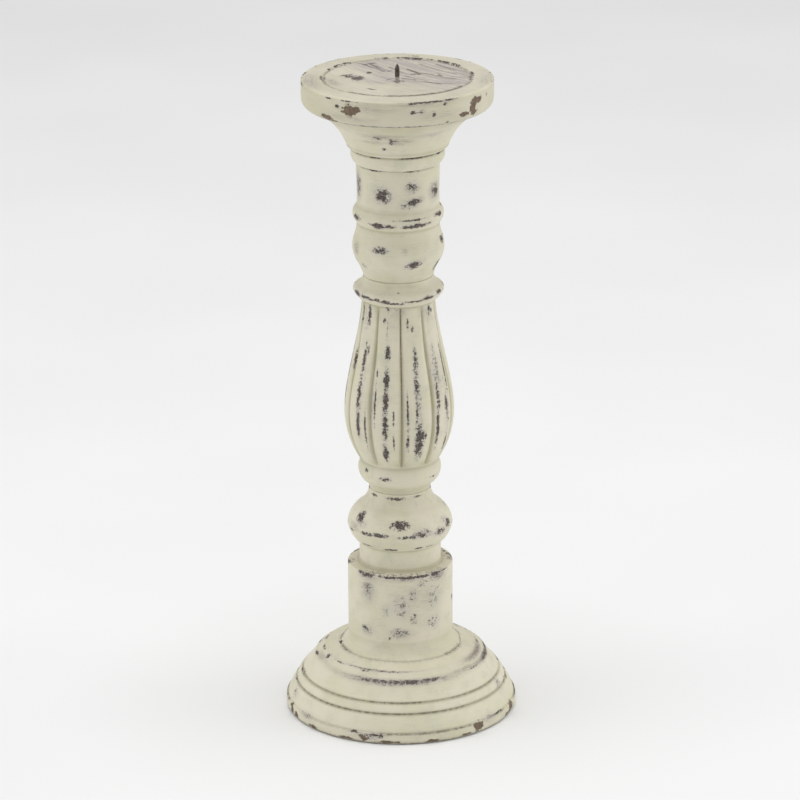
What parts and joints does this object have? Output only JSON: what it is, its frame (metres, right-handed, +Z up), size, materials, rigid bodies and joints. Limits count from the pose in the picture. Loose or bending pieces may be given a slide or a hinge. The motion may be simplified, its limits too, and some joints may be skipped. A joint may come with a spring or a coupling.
{
  "type": "candlestick",
  "caption": "Turned and carved wooden pricket candlestick with a stepped round base, fluted vase column and round candle dish, in distressed cream paint.",
  "frame": {"origin": "centre of the felt's underside, on the surface that the candlestick stands on", "axes": "+Z up along the turned axis, from the base to the pricket; -Y towards the viewer; one carved groove of the vase lies 2.8 degrees to the right of -Y"},
  "size_m": [0.1264, 0.1264, 0.3632],
  "materials": {
    "painted_wood": "matt cream paint, rubbed through to dark wood",
    "bare_wood": "unfinished hardwood",
    "spike_steel": "dull dark steel with paint on its lower half",
    "zinc_steel": "zinc plated",
    "felt": "brown felt"
  },
  "bodies": {
    "root": {"felt_pad": "felt", "base_screw": "zinc_steel", "screw_washer": "zinc_steel", "base_plinth": "painted_wood", "lower_column": "painted_wood", "lower_dowel": "bare_wood", "fluted_vase": "painted_wood", "middle_dowel": "bare_wood", "upper_column": "painted_wood", "upper_dowel": "bare_wood", "candle_dish": "painted_wood", "pricket": "spike_steel"}
  },
  "joints": []
}
